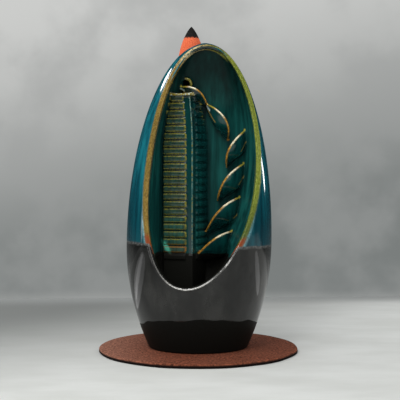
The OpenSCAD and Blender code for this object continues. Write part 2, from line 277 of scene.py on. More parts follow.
# %% [markdown]
# ## The roll round the mouth
#
# A bead runs round the mouth, half sunk in the body. It is swept along the edge of the mouth. Its
# middle line, its crest and the groove beside it are kept, because the glaze is painted by the
# distance from them later on.

# %% Roll
def mouth_edge(a):
    z = mouth_level(a)
    x = mouth_x(z) + mouth_r * np.cos(a)
    return np.stack([x, egg_front(x, z), z], -1)


def roll_frame(steps):
    a = turns(steps)
    edge = mouth_edge(a)
    out = egg_normal(edge)
    along = unit(mouth_edge(a + 0.02) - mouth_edge(a - 0.02))
    aside = np.cross(along, out)
    return edge + (rim_proud - rim_r) * out + 0.8 * rim_r * aside, out, aside


def make_roll(steps=420, sides=28):
    middle, out, aside = roll_frame(steps)
    t = turns(sides)
    rings = (middle[:, None] + rim_r * (np.cos(t)[None, :, None] * out[:, None]
                                        + np.sin(t)[None, :, None] * aside[:, None]))
    middle, out, aside = roll_frame(1400)
    crest = middle + rim_r * (0.9 * out - 0.44 * aside)
    groove = middle + rim_r * (0.25 * out + 1.05 * aside)
    return loft("roll", rings, closed=True), middle, aside, crest, groove


roll, roll_line, roll_aside, crest_line, groove_line = make_roll()
print("the roll is", round(float(np.linalg.norm(np.diff(roll_line, axis=0), axis=1).sum())), "mm long")

# %% [markdown]
# ## The stepped column
#
# The column is a wedge with a front edge and two faces. Slats cross each face and stop short of the
# front edge. A thin cap lies on top.

# %% Column
slat_count, slat_h, slat_pitch, slat_proud, slat_top_z = 22, 3.0, 4.55, 1.1, 151.6
corner_strip, column_w, column_turn, column_open = 4.2, 18.6, 20.0, 100.0
column_x, column_y, column_taper, cap_h = -4.2, -14.0, 0.36, 1.6
slat_sunk, slat_over = 0.5, 0.4
top_shift, column_root = np.array([-1.5, 2.0]), 8.0
cap_z = slat_top_z + slat_h / 2 - 0.2


def direction(degrees):
    return np.array([math.cos(math.radians(degrees)), math.sin(math.radians(degrees))])


def column_corners(z):
    z = np.asarray(z, float)
    rise = (np.clip(z - ceiling_z, 0, None) / (slat_top_z - ceiling_z))[..., None]
    front = np.array([column_x, column_y]) + top_shift * rise ** 2
    width = column_w * (1 - column_taper * rise ** 1.7)
    left = front + width * direction(180 - column_turn)
    right = front + width * direction(180 - column_turn - column_open)
    return left, front, right


def column_plan(plan_z, z, grow):
    left, front, right = column_corners(plan_z)
    left = left + grow * np.array([-1, -1])
    front = front + grow * np.array([0, -1.4])
    right = right + grow * np.array([1, -0.4])
    root = float(wall_y(cap_z)) + column_root
    flat = [left, front, right, (right[0], root), (left[0] - 2, root)]
    return [(p[0], p[1], z) for p in flat]


def slat(name, a, b, z):
    way = unit(b - a)
    out = np.array([way[1], -way[0]])
    ring = [a - slat_sunk * out, b - slat_sunk * out, b + slat_proud * out, a + slat_proud * out]
    return loft(name, [[(p[0], p[1], level) for p in ring] for level in (z - slat_h / 2, z + slat_h / 2)])


def make_column():
    rises = (0, 6, 12, 17, 22, 26)
    heights = [pool_floor_z - 1] + [ceiling_z + rise for rise in rises] + [cap_z + cap_h / 2]
    made = [loft("column", [column_plan(z, z, 0) for z in heights])]
    made.append(loft("cap", [column_plan(cap_z, z, slat_proud) for z in (cap_z, cap_z + cap_h)]))
    for i in range(slat_count):
        z = slat_top_z - i * slat_pitch
        left, front, right = column_corners(z)
        left_way, right_way = unit(left - front), unit(right - front)
        ends = (left - slat_over * left_way, front + corner_strip * left_way,
                front + corner_strip * right_way, right - slat_over * right_way)
        made += [slat(f"left_slat_{i}", *ends[:2], z), slat(f"right_slat_{i}", *ends[2:], z)]
    return made


column = make_column()
print("column pieces", len(column))

# %% [markdown]
# ## The leaf cups
#
# Each cup is a leaf-shaped trough that grows out of the back wall: round at its tip, full in its
# belly and drawn out to a spout at its lower end, with its lip bowed upwards. One function makes
# them all. The turning cup and the basin under the smoke hole are the same form, mirrored.

# %% Cups
cup_count, cup_step, cup_top_z, cup_tip_x, cup_drift = 4, 21.0, 134.4, 30.4, 0.74
cup_len, cup_growth, cup_slope, cup_flatten = 28.1, 2.8, 63.4, 8.9
cup_bow, cup_hook, cup_unhook = 5.5, 6.2, 4.1
cup_breadth, cup_depth, cup_deepen, cup_wall, cup_tilt, cup_root = 22.0, 12.5, 1.8, 2.0, 16.0, 1.8
turn_cup_len, turn_cup_slope, turn_cup_hook, turn_cup_share = 26.0, 60.0, 2.4, 0.8
turn_cup_left, turn_cup_up = 25.2, 14.4
basin_len, basin_slope, basin_share, basin_back, basin_drop = 21.0, 35.0, 0.71, 3.5, 1.5
leaf_tip, leaf_spout, leaf_start, leaf_run = 0.62, 0.8, 0.004, 0.966
leaf_sum = leaf_tip + leaf_spout
leaf_peak = (leaf_tip / leaf_sum) ** leaf_tip * (leaf_spout / leaf_sum) ** leaf_spout
seat_d, seat_z, seat_x, seat_y, seat_wall, seat_wall_h = 18.4, 172.6, -3.7, 11.0, 1.9, 1.8
smoke_d, spout_z, spout_x, spout_d, spout_reach = 4.6, 160.6, -7.8, 8.0, 3.0

# Lines of points that the glaze follows: each lip, a painted highlight under its tip and the gold side below.
tip_glint_at, tip_glint_end, side_at, side_end, line_start = 0.17, 0.11, 0.26, 0.4, 0.02
lip_lines, lip_shares, tip_glint_lines, side_lines = [], [], [], []


def leaf(t):
    return t ** leaf_tip * (1 - t) ** leaf_spout / leaf_peak


def leaf_cup(name, tip, length, slope, hook, rise, breadth, depth, side, steps=64, sides=28):
    slope = math.radians(slope)
    way = np.array([-side * math.cos(slope), -math.sin(slope)])
    up = side * np.array([way[1], -way[0]])
    tip = np.array(tip, float)
    spout = tip + length * way
    bow = tip + (length / 2 + hook) * way + 2 * rise * up
    tilt = math.radians(cup_tilt)
    rings = []
    for t in leaf_start + leaf_run * np.linspace(0, 1, steps + 1) ** 1.5:
        lip = (1 - t) ** 2 * tip + 2 * t * (1 - t) * bow + t ** 2 * spout
        run = unit((1 - t) * (bow - tip) + t * (spout - bow))
        belly = side * np.array([-run[1], 0, run[0]])
        back = np.array([0, math.cos(tilt), 0]) - math.sin(tilt) * belly
        down = math.cos(tilt) * belly + np.array([0, math.sin(tilt), 0])
        half, deep = breadth / 2 * leaf(t) ** 0.8, depth * leaf(t)
        front = float(wall_y(lip[1])) + cup_root - 2 * half * math.cos(tilt)
        middle = np.array([lip[0], front, lip[1]]) + half * back
        a = np.linspace(0, np.pi, sides + 1)[:, None]
        thin_half, thin_deep = max(0.35 * half, half - cup_wall), max(0.35 * deep, deep - cup_wall)
        outer = middle - half * np.cos(a) * back + deep * np.sin(a) * down
        inner = middle - thin_half * np.cos(a) * back + thin_deep * np.sin(a) * down
        rings.append(np.concatenate([outer, inner[::-1]]))
        lip_lines.append(0.75 * outer[0] + 0.25 * inner[0])
        lip_shares.append(t)
        if line_start < t < tip_glint_end:
            tip_glint_lines.append(outer[round(tip_glint_at * sides)])
        if line_start < t < side_end:
            side_lines.append(outer[round(side_at * sides)])
    return loft(name, rings)


def make_cups():
    made = []
    for k in range(cup_count):
        tip = (cup_tip_x - cup_drift * k * k, cup_top_z - k * cup_step)
        made.append(leaf_cup(f"cup_{k + 2}", tip, cup_len + k * cup_growth, cup_slope - k * cup_flatten,
                             cup_hook - k * cup_unhook, cup_bow, cup_breadth, cup_depth + k * cup_deepen, 1))
    turn_tip = (cup_tip_x - turn_cup_left, cup_top_z + turn_cup_up)
    basin_tip = (spout_x - basin_back, spout_z - basin_drop)
    for name, tip, length, slope, hook, share in (
            ("turn_cup", turn_tip, turn_cup_len, turn_cup_slope, turn_cup_hook, turn_cup_share),
            ("basin", basin_tip, basin_len, basin_slope, 0, basin_share)):
        size = share * cup_bow, share * cup_breadth, share * cup_depth
        made.append(leaf_cup(name, tip, length, slope, hook, *size, -1))
    return made


cups = make_cups()
print("cups", [c.name for c in cups])

# %% [markdown]
# ## The seat and the smoke passage
#
# The cone stands in a shallow seat at the back of the top. Its smoke goes down a bore and comes out
# of a short spout in the niche.

# %% Seat, spout and passage
def make_seat_parts():
    start = np.array([seat_x, seat_y, spout_z + 4])
    end = np.array([spout_x, float(wall_y(spout_z)) - spout_reach, spout_z])
    way = unit(end - start)
    boss = rod("seat_boss", (seat_x, seat_y, seat_z - 14), (seat_x, seat_y, seat_z + seat_wall_h),
               seat_d - 1, seat_d + 2 * seat_wall, 128)
    spout = rod("spout", (start + end) / 2, end, spout_d)
    recess = rod("seat_recess", (seat_x, seat_y, seat_z), (seat_x, seat_y, body_h + 20), seat_d, None, 128)
    slope = rod("passage_slope", start - 1.5 * way, end + 2 * way, smoke_d + 0.2)
    drop = rod("passage_drop", (seat_x, seat_y, start[2] - 1), (seat_x, seat_y, seat_z + 1), smoke_d)
    return [boss], [spout], [recess, slope, drop]


seat_solids, spout_solids, bores = make_seat_parts()
hollow = loft("foot_hollow", [egg_ring(z, foot_r - foot_ring_w) for z in (-3, foot_hollow)])
print("seat, spout and bores made")

# %% [markdown]
# ## One fired piece
#
# Glaze melts over everything in the kiln, so there are no hard joints between the pieces. They are
# joined by booleans, then rebuilt on a fine grid of voxels and smoothed a little, which rounds each
# edge and fills each corner by about half a millimetre, as a coat of glaze does.

# %% Join, remesh and smooth
VOXEL = 0.52 * MM


def combine(target, others, operation):
    for other in others:
        step = target.modifiers.new(other.name, "BOOLEAN")
        step.operation, step.solver, step.object = operation, "MANIFOLD", other
    apply_modifiers(target)


def apply_modifiers(made):
    bpy.context.view_layer.update()
    seen = made.evaluated_get(bpy.context.evaluated_depsgraph_get())
    mesh = bpy.data.meshes.new_from_object(seen, preserve_all_data_layers=True,
                                           depsgraph=bpy.context.evaluated_depsgraph_get())
    made.modifiers.clear()
    made.data = mesh


def fire(body):
    combine(body, seat_solids, "UNION")
    combine(body, [niche, pool], "DIFFERENCE")
    combine(body, [roll] + column + cups + spout_solids, "UNION")
    combine(body, bores + [hollow], "DIFFERENCE")
    grid = body.modifiers.new("grid", "REMESH")
    grid.mode, grid.voxel_size, grid.use_smooth_shade = "VOXEL", VOXEL, True
    melt = body.modifiers.new("melt", "SMOOTH")
    melt.factor, melt.iterations = 0.5, 4
    apply_modifiers(body)


fire(egg)
print("after remeshing", len(egg.data.vertices), "points", len(egg.data.polygons), "faces")

# %% [markdown]
# ## Where the glaze breaks
#
# This glaze is a teal one that breaks: where it runs thin over a sharp edge it turns gold. Hollows
# and creases get painted shade, and some pale marks are painted highlights. So each point gets a set
# of numbers from 0 to 1, which the materials read: how sharply the surface bends there, how near the
# roll, a lip, a tip or a slat is, and whether it lies inside the niche. Distances are in millimetres.
# The points of the outer wall are also set back exactly on the egg, so that its reflections are calm.

# %% Measure the surface
def read(rows, name, width=1, kind=np.float32):
    """One value of each vertex, edge, corner or face, as an array."""
    flat = np.empty(len(rows) * width, kind)
    rows.foreach_get(name, flat)
    return flat.reshape(-1, width) if width > 1 else flat


def mesh_arrays(mesh):
    points = read(mesh.vertices, "co", 3).astype(float)
    normals = read(mesh.vertex_normals, "vector", 3).astype(float)
    return points / MM, normals, read(mesh.edges, "vertices", 2, np.int32)


def spread(values, edges, rounds):
    count = np.bincount(edges.ravel(), minlength=len(values)) + 1.0
    for _ in range(rounds):
        total = values.copy()
        total += np.bincount(edges[:, 0], values[edges[:, 1]], len(values))
        total += np.bincount(edges[:, 1], values[edges[:, 0]], len(values))
        values = total / count
    return values


def bend_of(points, normals, edges):
    step = points[edges[:, 1]] - points[edges[:, 0]]
    size = np.maximum((step ** 2).sum(1), 1e-6)
    one = -2 * (step * normals[edges[:, 0]]).sum(1) / size
    two = 2 * (step * normals[edges[:, 1]]).sum(1) / size
    total = np.bincount(edges[:, 0], one, len(points)) + np.bincount(edges[:, 1], two, len(points))
    return total / np.maximum(np.bincount(edges.ravel(), minlength=len(points)), 1)


def nearest(points, line, among=None):
    """Distance of each point from a line of points, and which of them is nearest."""
    best, which = np.full(len(points), 1e9), np.zeros(len(points), int)
    chosen = np.arange(len(points)) if among is None else np.nonzero(among)[0]
    for start in range(0, len(chosen), 8000):
        part = chosen[start:start + 8000]
        gap = ((points[part][:, None] - line[None]) ** 2).sum(-1)
        which[part] = gap.argmin(1)
        best[part] = np.sqrt(gap.min(1))
    return best, which


def add_value(mesh, name, values):
    """Store one number for each point, under a name that the materials read."""
    layer = mesh.attributes.new(name, "FLOAT", "POINT")
    layer.data.foreach_set("value", np.asarray(values, np.float32))


def fade(value, full, none):
    """1 at full and beyond it, 0 at none and beyond that, and a smooth step between."""
    share = np.clip((value - none) / (full - none), 0, 1)
    return share * share * (3 - 2 * share)


def column_values(points):
    """Gold on each slat, the front edge, the gaps between the slats, and whether a point is on the column."""
    gold, arris_gold_and_glint, gap, on_column = (np.zeros(len(points)) for _ in range(4))
    x, y, z = points.T
    near = np.nonzero((z < cap_z + cap_h + 0.6) & (np.abs(x - column_x) < 26) & (y < 6))[0]
    flat, z = points[near][:, :2], points[near][:, 2]
    left, front, right = column_corners(z)
    level = np.abs(z - (slat_top_z - np.round((slat_top_z - z) / slat_pitch) * slat_pitch))
    behind = np.ones(len(near), bool)
    for corner, turn in ((left, -1), (right, 1)):
        way = unit(corner - front)
        out = turn * np.stack([way[:, 1], -way[:, 0]], -1)
        along, off = ((flat - front) * way).sum(1), ((flat - front) * out).sum(1)
        width = np.linalg.norm(corner - front, axis=1)
        on = (off > 0.25) & (off < slat_proud + 0.6) & (level < slat_h / 2 + 0.3)
        on &= (along > corner_strip - 0.6) & (along < width + 0.6) & (z < cap_z - 0.4)
        margin = np.minimum(slat_h / 2 - level, np.minimum(along - corner_strip, width - along))
        glow = 0.12 + 0.88 * fade(margin, 0.1, 0.5)
        if turn > 0:
            glow *= fade(z, 142, 134) * fade(along / width, 0.9, 0.65)
        gold[near] = np.maximum(gold[near], np.where(on, glow, 0))
        # The gaps between the slats are marked for painted shade, stronger on the left face.
        low = (np.abs(off) < 0.6) & (along > corner_strip) & (along < width) & ~on
        gap[near] = np.maximum(gap[near], np.where(low, 1.0 if turn < 0 else 0.2, 0))
        behind &= (off < 2.2) & (along < width + 3)
    # The front edge: its gold flecks are broken glaze, and its pale cyan is a painted highlight.
    arris_gold_and_glint[near] = fade(np.linalg.norm(flat - front, axis=1), 0.2, 0.5) * (z < cap_z)
    on_column[near] = behind
    return gold, arris_gold_and_glint, gap, on_column


def on_niche_wall(points, on_column):
    """True on the niche's walls, in the pool and at the column's foot, and not on a cup."""
    x, y, z = points.T
    front = -depth_share * egg_half(z)
    back = np.clip((y - front) / (wall_y(z) - front), 0, 1.2)
    across = np.abs(x - mouth_x(z)) / np.maximum(mouth_half(z) * (1 - wall_flare * back), 1)
    on_wall = across ** niche_power + back ** niche_power > 0.86
    return on_wall | (z < pool_top_z - 14) | ((on_column > 0) & (z < pool_top_z + 12))


def corner_glint_value(points):
    """A painted highlight: a pale green glint on pooled glaze in the corner at the foot of the column."""
    corner_glint_x, corner_glint_z, corner_glint_slope, half_w, half_h = -19.8, 62, 0.55, 1.7, 4.3
    up = points[:, 2] - corner_glint_z
    gap = np.hypot((points[:, 0] - corner_glint_x + corner_glint_slope * up) / half_w, up / half_h)
    return fade(gap, 0.5, 1.2) * (points[:, 1] < 4)


def roll_band(points, level, near_roll, which):
    """The gold band: the roll, and behind it the strip up to the niche, which is wider on the right."""
    turn = ((points - roll_line[which]) * roll_aside[which]).sum(1) / rim_r
    left_strip = fade(near_roll, 4.2, 4.9) * fade(level, -0.8, -1.4) * fade(points[:, 2], 160, 167)
    right_strip = fade(near_roll, 4.6, 5.3) * fade(level, -1.0, -1.6) * fade(points[:, 0], 13, 7)
    strip = fade(turn, -0.2, 0) * np.maximum(left_strip, right_strip)
    band = np.maximum(fade(near_roll, rim_r + 0.15, rim_r + 0.6), strip)
    summit = fade(points[:, 2], 181, 175)
    return band * (1 - summit * np.maximum(fade(turn, 0.75, 0.45), fade(turn, -0.85, -0.6)))


def measure(body):
    mesh = body.data
    points, normals, edges = mesh_arrays(mesh)
    level = egg_level(points)
    ideal = egg_normal(points)
    outer = (np.abs(level) < 0.25) & ((normals * ideal).sum(1) > 0.97) & (points[:, 2] > foot_round)
    points[outer] -= level[outer, None] * ideal[outer]
    z = points[:, 2]
    bend = bend_of(points, normals, edges)
    near_roll, _ = nearest(points, roll_line[::4])
    beside = near_roll < 7
    near_roll, which = nearest(points, roll_line, beside)
    near_crest, near_groove = (nearest(points, line, beside)[0] for line in (crest_line, groove_line))
    near_lip, lip_at = nearest(points, np.array(lip_lines), level < -1)
    near_tip_glint, near_side = (nearest(points, np.array(line), near_lip < 12)[0]
                           for line in (tip_glint_lines, side_lines))
    slats, arris_gold_and_glint, gap, on_column = column_values(points)
    edge = np.clip(spread(bend, edges, 2) / 0.9, 0, 1)
    edge[(on_column > 0) | (near_roll < rim_r + 3.4) | (z > 168)] = 0.0
    values = {
        "edge": edge,
        # hollow: how concave each point is, used for painted shade in creases
        "hollow": np.clip(-spread(bend, edges, 12) / 0.35, 0, 1),
        "roll": roll_band(points, level, near_roll, which),
        "crest": fade(near_crest, 0.05, 0.45),
        # Mask of a painted highlight: a pale cyan line in the groove beside the roll.
        "groove_glint": fade(near_groove - 0.9 * fade(z, 70, 86), 0.25, 0.9) * fade(z, 98, 126) * (level > -0.8),
        "lip": fade(near_lip, 0.55, 1.0),
        "lip_share": np.array(lip_shares)[lip_at],
        "tip": fade(near_tip_glint, 0.3, 0.8),
        "side": fade(near_side, 0.1, 0.6),
        "corner_glint": corner_glint_value(points) * (level < -3),
        "slats": slats,
        "arris_gold_and_glint": arris_gold_and_glint * (0.35 + 0.65 * fade(z, 115, 90)),
        "gap": gap,
        "cap": (on_column > 0) * fade(np.abs(z - cap_z - cap_h), 0.9, 1.4) * (level < -1),
        "inside": spread((level < -0.6).astype(float), edges, 3),
        "wall": spread(on_niche_wall(points, on_column).astype(float), edges, 1),
    }
    points[:, 2] += foot_level
    mesh.vertices.foreach_set("co", (points * MM).astype(np.float32).ravel())
    for name, value in values.items():
        add_value(mesh, name, value)
    mesh.update()
    return {name: round(float(value.mean()), 4) for name, value in values.items()}


print("mean of each value", measure(egg))

# %% [markdown]
# ## Fewer triangles
#
# The grid makes far more faces than the shape needs. Decimating keeps them where the surface bends.
# The base was dipped in black, and the dip turns dull in two places: below a wavy, slanting line
# round the foot, and below a level line in the niche. The faces are cut along both lines, so that
# the material can change on a clean edge. The outer wall then gets the exact normals of the egg,
# so that the gloss doesn't show facets.

# %% Decimate and set normals
MOST_TRIANGLES = 190000
DIP_LEFT_Z, DIP_RIGHT_Z, DIP_NICHE_DROP = 68.3, 66.0, 6.5
NICHE_DIP_Z = DIP_RIGHT_Z - DIP_NICHE_DROP
FOOT_LINE_Z, FOOT_LINE_SLANT, FOOT_LINE_REACH = 17.0, 0.185, 4
FOOT_WAVES = ((0.45, 7, 1), (0.3, 13, 2.4), (0.15, 23, 0))


def lighten(body):
    body.data.calc_loop_triangles()
    thin = body.modifiers.new("thin", "DECIMATE")
    thin.ratio = MOST_TRIANGLES / len(body.data.loop_triangles)
    apply_modifiers(body)
    body.data.shade_smooth()


def above_foot_plane(points):
    """Height above the slanting plane where the black dip turns dull. It is highest in front."""
    return points[:, 2] - (FOOT_LINE_Z - FOOT_LINE_SLANT * points[:, 1])


def foot_waves(points):
    a = np.arctan2(points[:, 0], -points[:, 1])
    return sum(size * np.sin(rounds * a + start) for size, rounds, start in FOOT_WAVES)


def cut_dull_lines(body):
    """Split the faces along both lines, then slide the lower cut's points on the egg, into waves."""
    mesh = bmesh.new()
    mesh.from_mesh(body.data)
    low = [f for f in mesh.faces if f.calc_center_median().z < 34 * MM]
    near = low + list({e for f in low for e in f.edges}) + list({v for f in low for v in f.verts})
    bmesh.ops.bisect_plane(mesh, geom=near, dist=1e-6, plane_co=(0, 0, FOOT_LINE_Z * MM),
                           plane_no=(0, FOOT_LINE_SLANT, 1))
    every = list(mesh.faces) + list(mesh.edges) + list(mesh.verts)
    bmesh.ops.bisect_plane(mesh, geom=every, dist=1e-6, plane_co=(0, 0, NICHE_DIP_Z * MM), plane_no=(0, 0, 1))
    mesh.to_mesh(body.data)
    mesh.free()
    points, _, _ = mesh_arrays(body.data)
    outer = np.abs(egg_level(points - [0, 0, foot_level])) < 0.1
    close = fade(np.abs(above_foot_plane(points)), 0, FOOT_LINE_REACH)
    shift = np.where(outer, foot_waves(points) * close, 0)
    points[:, 2] += shift
    wide = egg_half(points[:, 2] - foot_level) / egg_half(points[:, 2] - shift - foot_level)
    points[:, :2] *= np.where(shift != 0, wide, 1)[:, None]
    body.data.vertices.foreach_set("co", (points * MM).astype(np.float32).ravel())
    body.data.update()


def calm_normals(body):
    points, normals, _ = mesh_arrays(body.data)
    points[:, 2] -= foot_level
    ideal = egg_normal(points)
    outer = (np.abs(egg_level(points)) < 0.08) & ((normals * ideal).sum(1) > 0.985)
    outer &= points[:, 2] > foot_round
    normals[outer] = ideal[outer]
    body.data.normals_split_custom_set_from_vertices([tuple(n) for n in normals])
    return int(outer.sum())


lighten(egg)
cut_dull_lines(egg)
calm = calm_normals(egg)
egg.data.calc_loop_triangles()
print("after thinning", len(egg.data.loop_triangles), "triangles, calm points", calm)
for piece in scrap:
    if piece is not egg:
        bpy.data.objects.remove(piece)
egg.name = "glazed_body"
egg.data.name = "glazed_body"

# %% [markdown]
# ## A small kit for materials
#
# Colours are written as sRGB hex values and turned to linear by one function. One function adds a
# node with its settings and its links. The short ones under it each stand for one step that comes
# up often: a ramp from one value to another, a noise of a real size, a tint towards a colour. They
# find their node tree by the socket that they are given.

# %% Material kit
def linear(code):
    channels = [int(code[i:i + 2], 16) / 255 for i in (1, 3, 5)]
    return [c / 12.92 if c <= 0.04045 else ((c + 0.055) / 1.055) ** 2.4 for c in channels] + [1.0]


def add_node(tree, kind, inputs=None, settings=None):
    """A shader node with its settings, and with each socket linked or set."""
    node = tree.nodes.new(kind)
    for key, value in (settings or {}).items():
        setattr(node, key, value)
    for key, value in (inputs or {}).items():
        if isinstance(value, bpy.types.NodeSocket):
            tree.links.new(value, node.inputs[key])
        else:
            node.inputs[key].default_value = value
    return node


def tree_of(*values):
    """The node tree of the first socket among some values."""
    return next(value.id_data for value in values if isinstance(value, bpy.types.NodeSocket))


def new_material(name):
    """An empty material, with the place on the object in metres and its three coordinates."""
    material = bpy.data.materials.new(name)
    material.use_nodes = True
    tree = material.node_tree
    tree.nodes.clear()
    where = add_node(tree, "ShaderNodeTexCoord").outputs["Object"]
    return material, where, add_node(tree, "ShaderNodeSeparateXYZ", {0: where}).outputs


def finish_material(colour, roughness, ior, more=None):
    tree = tree_of(colour)
    values = {"Base Color": colour, "Roughness": roughness, "IOR": ior, **(more or {})}
    shader = add_node(tree, "ShaderNodeBsdfPrincipled", values)
    add_node(tree, "ShaderNodeOutputMaterial", {0: shader.outputs[0]})


def bump(strength, distance, height):
    values = {"Strength": strength, "Distance": distance, "Height": height}
    return {"Normal": add_node(tree_of(height), "ShaderNodeBump", values).outputs[0]}


def mix(amount, a, b):
    node = add_node(tree_of(amount), "ShaderNodeMix", {0: amount, 6: a, 7: b}, {"data_type": "RGBA"})
    return node.outputs[2]


def blend(amount, low, high):
    """From one hex colour to another."""
    return mix(amount, linear(low), linear(high))


def tint(colour, amount, code):
    """The colour, moved towards a hex colour by an amount."""
    return mix(amount, colour, linear(code))


def ramp(value, low, high, out_low=0.0, out_high=1.0, smooth=True):
    limits = {"Value": value, "From Min": low, "From Max": high, "To Min": out_low, "To Max": out_high}
    settings = {"interpolation_type": "SMOOTHSTEP" if smooth else "LINEAR"}
    return add_node(tree_of(value), "ShaderNodeMapRange", limits, settings).outputs["Result"]


def maths(operation, a, b):
    return add_node(tree_of(a, b), "ShaderNodeMath", {0: a, 1: b}, {"operation": operation}).outputs[0]


def times(*values):
    product = values[0]
    for value in values[1:]:
        product = maths("MULTIPLY", product, value)
    return product


def noise(where, size_mm, detail, rough, stretch=(1, 1, 1)):
    scale = tuple(s / (size_mm * MM) for s in stretch)
    scaled = add_node(tree_of(where), "ShaderNodeMapping", {"Vector": where, "Scale": scale}).outputs[0]
    values = {"Vector": scaled, "Scale": 1.0, "Detail": detail, "Roughness": rough}
    return add_node(tree_of(where), "ShaderNodeTexNoise", values).outputs["Fac"]


print("material kit ready")

# %% [markdown]
# ## Reactive teal glaze over a black dipped base
#
# This is a gloss stoneware glaze, coloured by copper and iron. The eye reads deep teal, gold on
# each edge where it breaks, faint streaks where it ran, and a hard, level line where the base was
# dipped in black. Glass-like glazes have an IOR of about 1.5 to 1.55 and a roughness under 0.1.
#
# The gloss can't change within a material here, so one recipe makes five: the outer wall, the niche
# that the kiln gas dulled, the glossy glaze on the cups, whose darker colours are painted shade, the
# gold that broke on the roll, and the dull end of the black dip. Where the skin is dull or sooted, a
# lower IOR stands for the weaker mirror.

# %% Glaze
OUTER, NICHE, CUP, GOLD, DULL = range(5)
TEAL_COLOURS = ("#1A7480", "#0A4450", "#08313B")
NICHE_COLOURS = ("#1D625C", "#0C3432", "#0A2627")
# The cups' colours are darker than the niche's: painted shade for their dark bellies.
SHADED_CUP_COLOURS = ("#0D4845", "#062B2C", "#04191B")
GLAZES = (  # each with its light, dark and deep colour, its roughness and its IOR
    ("reactive_teal_glaze", TEAL_COLOURS, 0.06, 1.46),
    ("dulled_niche_glaze", NICHE_COLOURS, 0.30, 1.18),
    ("shaded_cup_glaze", SHADED_CUP_COLOURS, 0.09, 1.52),
    ("broken_gold_glaze", TEAL_COLOURS, 0.24, 1.42),
    ("dull_black_dip", NICHE_COLOURS, 0.45, 1.12),
)


def surface_values(where):
    names = ("edge", "hollow", "roll", "crest", "groove_glint", "lip", "lip_share", "tip", "side", "corner_glint", "slats",
             "arris_gold_and_glint", "gap", "cap", "inside")
    tree = where.id_data
    return {name: add_node(tree, "ShaderNodeAttribute", None, {"attribute_name": name}).outputs["Fac"]
            for name in names}


def add_gold(colour, value, patches, grain, x, z):
    """Gold on the roll, olive to its right; gold lips with painted cream highlights; olive outlines on slats.
    """
    gold = blend(ramp(grain, 0.3, 0.7), "#624C1F", "#947A38")
    gold = tint(gold, ramp(patches, 0.4, 0.7, 0, 0.45), "#4A4124")
    # Painted highlight: cream on the upper left of the roll's top.
    cream_glint = times(ramp(z, 0.170, 0.182), ramp(x, 0.008, -0.004),
                  ramp(grain, 0.3, 0.6))
    gold = tint(gold, times(cream_glint, 0.8), "#E6D3A0")
    olive = blend(ramp(grain, 0.3, 0.7), "#687426", "#929C40")
    olive = tint(olive, ramp(z, 0.105, 0.07, 0, 0.75), "#35451F")
    # Painted highlight: a pale cyan line in the groove beside the roll.
    groove_glint = times(value["groove_glint"], ramp(grain, 0.3, 0.6, 0.2, 0.6))
    colour = tint(colour, groove_glint, "#8CC4CC")
    colour = mix(value["roll"], colour, mix(ramp(x, -0.002, 0.026), gold, olive))
    thin = times(ramp(value["edge"], 0.25, 0.75), ramp(patches, 0.25, 0.5, 0.4, 0.8))
    colour = tint(colour, thin, "#8E842F")
    share = value["lip_share"]  # 0 at a cup's tip, 1 at its spout
    # Painted highlights: cream flecks along each lip.
    cream_glint = times(ramp(share, 0.12, 0.24), ramp(share, 0.5, 0.36),
                  ramp(grain, 0.36, 0.5, 0.3, 1))
    lip = blend(ramp(grain, 0.35, 0.65), "#8A5A1E", "#D09A3C")
    lip = tint(lip, cream_glint, "#F2E8C8")
    lip = tint(lip, ramp(share, 0.2, 0.1), "#A39A38")
    colour = tint(colour, times(value["side"], 0.85), "#B0913A")
    colour = mix(value["lip"], colour, lip)
    # Painted highlight: a pale glint under each cup's tip.
    colour = tint(colour, times(value["tip"], ramp(grain, 0.3, 0.5, 0.5, 1)), "#D2EEEA")
    # Painted shade in the gaps between the slats.
    colour = tint(colour, times(value["gap"], 0.8), "#041416")
    uneven = times(value["slats"], ramp(grain, 0.32, 0.62, 0.12, 0.78))
    colour = tint(colour, uneven, "#8D8429")
    # The cap: gold, with a painted highlight in pale white-cyan along its top edge.
    cap = blend(ramp(grain, 0.5, 0.62), "#96822E", "#D5E4DC")
    colour = mix(times(value["cap"], 0.9), colour, cap)
    # Front edge: gold flecks of broken glaze, and pale cyan as a painted highlight.
    arris_gold_and_glint = blend(ramp(grain, 0.48, 0.6), "#7FB5B4", "#A08A30")
    colour = mix(times(value["arris_gold_and_glint"], ramp(grain, 0.4, 0.52, 0.1, 1)), colour, arris_gold_and_glint)
    # Painted highlight: the pale green glint in the corner at the column's foot.
    colour = tint(colour, value["corner_glint"], "#4FB79C")
    return colour, maths("MAXIMUM", value["roll"], times(value["slats"], 0.6))


